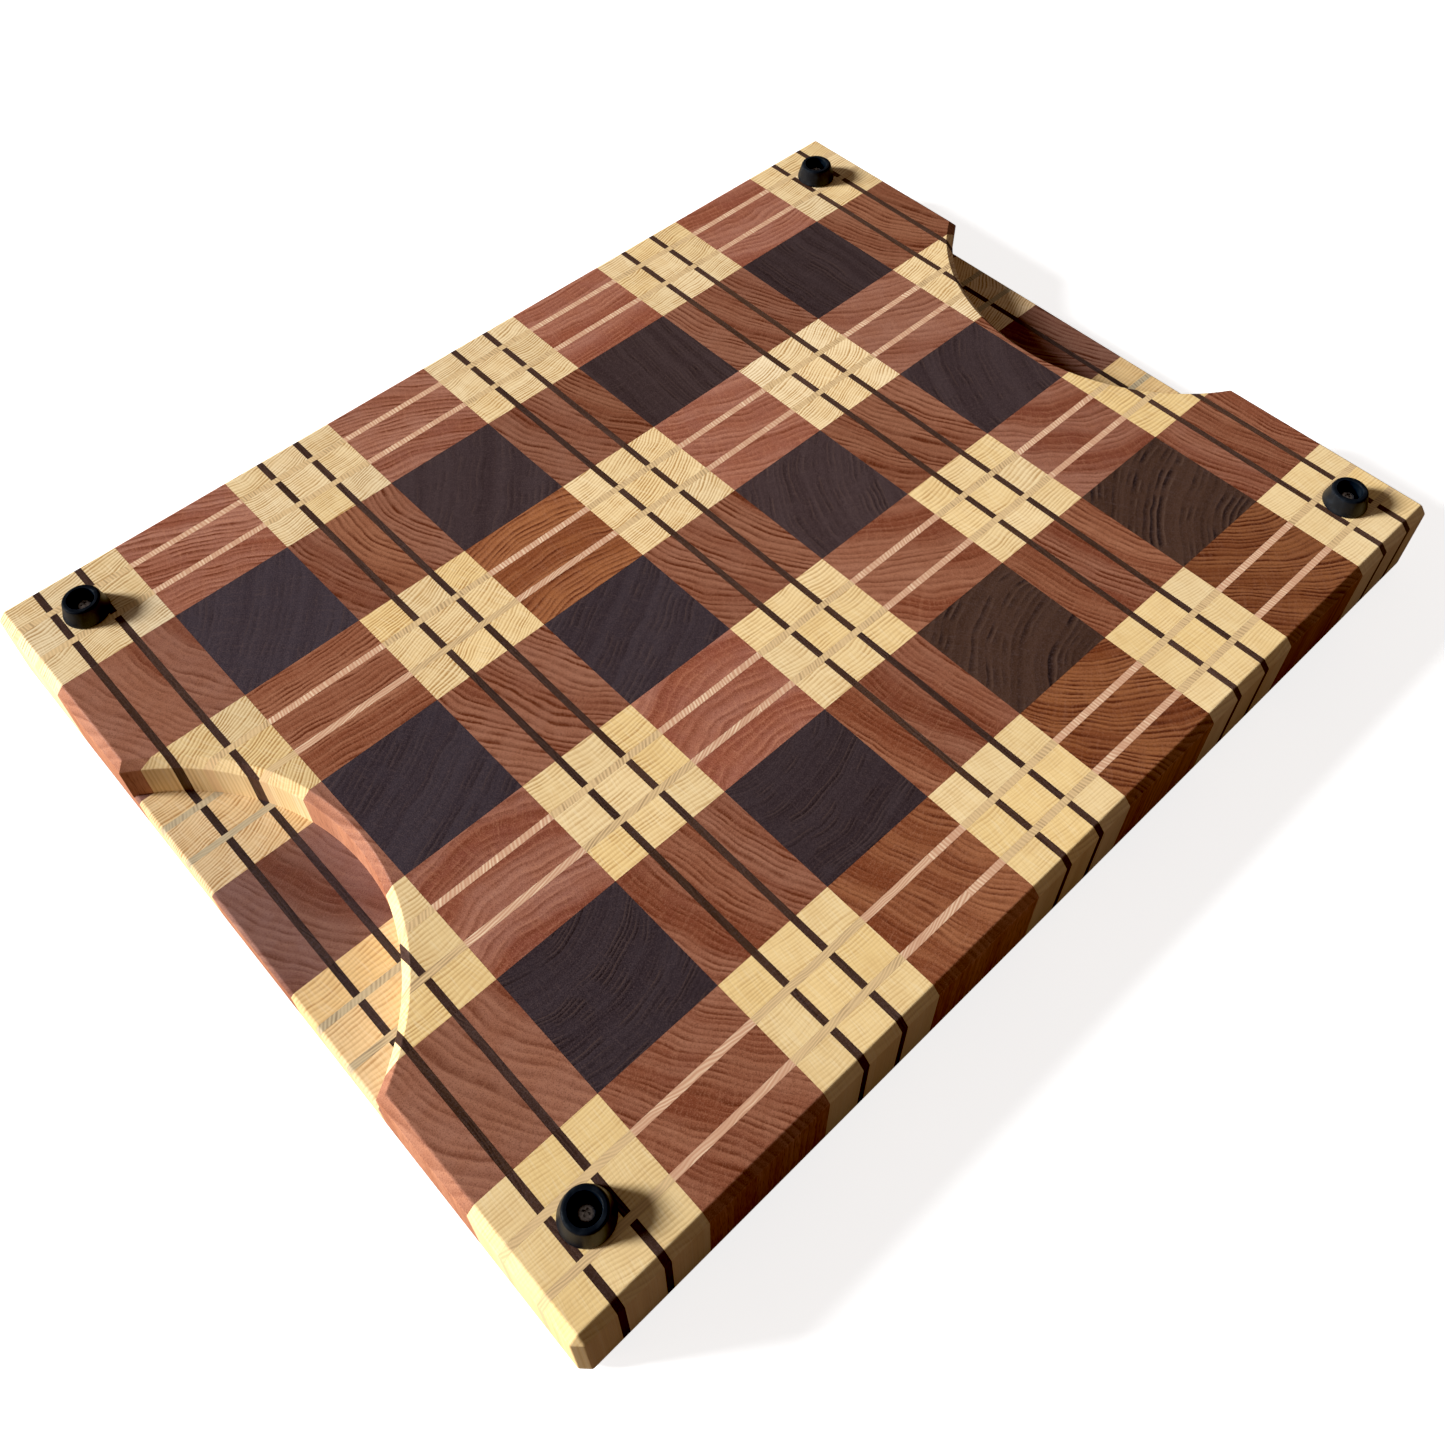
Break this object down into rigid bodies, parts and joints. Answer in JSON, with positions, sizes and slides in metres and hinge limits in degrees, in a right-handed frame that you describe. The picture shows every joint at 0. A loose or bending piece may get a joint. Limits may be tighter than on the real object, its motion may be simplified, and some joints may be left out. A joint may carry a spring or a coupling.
{
  "type": "cutting board",
  "caption": "End-grain plaid wooden cutting board with a curved finger recess in each end and screwed-on rubber feet, shown upside down.",
  "frame": {"origin": "centre of the cutting face, which lies down on Z = 0", "axes": "+X along the long side towards the right end, +Y along the short side towards the back, +Z out of the underside, where the feet and the finger recesses are; turn the part over about X to use it"},
  "size_m": [0.4572, 0.3556, 0.0461],
  "materials": {
    "maple": "oiled end grain, pale yellow with fine growth rings",
    "pale_strip": "oiled, pinkish tan with fine cross flecks",
    "red_hardwood": "oiled end grain, red-brown with wide growth rings",
    "dark_hardwood": "oiled end grain, nearly black purple-brown",
    "rubber": "smooth semi-gloss black",
    "black_steel": "blackened",
    "steel": "bright zinc plated"
  },
  "bodies": {
    "root": {"light_bar_1a": "maple", "light_bar_1b": "maple", "light_bar_1c": "maple", "thin_strip_1a": "pale_strip", "thin_strip_1b": "pale_strip", "light_bar_2a": "maple", "light_bar_2b": "maple", "light_bar_2c": "maple", "thin_strip_2a": "pale_strip", "thin_strip_2b": "pale_strip", "light_bar_3a": "maple", "light_bar_3b": "maple", "light_bar_3c": "maple", "thin_strip_3a": "pale_strip", "thin_strip_3b": "pale_strip", "light_bar_4a": "maple", "light_bar_4b": "maple", "light_bar_4c": "maple", "thin_strip_4a": "pale_strip", "thin_strip_4b": "pale_strip", "striped_block_1_1": "red_hardwood", "striped_block_1_2": "red_hardwood", "striped_block_1_3": "red_hardwood", "striped_block_1_4": "red_hardwood", "striped_block_1_5": "red_hardwood", "dark_block_1_1": "dark_hardwood", "dark_block_1_2": "dark_hardwood", "dark_block_1_3": "dark_hardwood", "dark_block_1_4": "dark_hardwood", "striped_block_2_1": "red_hardwood", "striped_block_2_2": "red_hardwood", "striped_block_2_3": "red_hardwood", "striped_block_2_4": "red_hardwood", "striped_block_2_5": "red_hardwood", "dark_block_2_1": "dark_hardwood", "dark_block_2_2": "dark_hardwood", "dark_block_2_3": "dark_hardwood", "dark_block_2_4": "dark_hardwood", "striped_block_3_1": "red_hardwood", "striped_block_3_2": "red_hardwood", "striped_block_3_3": "red_hardwood", "striped_block_3_4": "red_hardwood", "striped_block_3_5": "red_hardwood", "dark_block_3_1": "dark_hardwood", "dark_block_3_2": "dark_hardwood", "dark_block_3_3": "dark_hardwood", "dark_block_3_4": "dark_hardwood", "rubber_foot_front_left": "rubber", "foot_washer_front_left": "black_steel", "foot_screw_front_left": "steel", "rubber_foot_front_right": "rubber", "foot_washer_front_right": "black_steel", "foot_screw_front_right": "steel", "rubber_foot_back_left": "rubber", "foot_washer_back_left": "black_steel", "foot_screw_back_left": "steel", "rubber_foot_back_right": "rubber", "foot_washer_back_right": "black_steel", "foot_screw_back_right": "steel"}
  },
  "joints": []
}
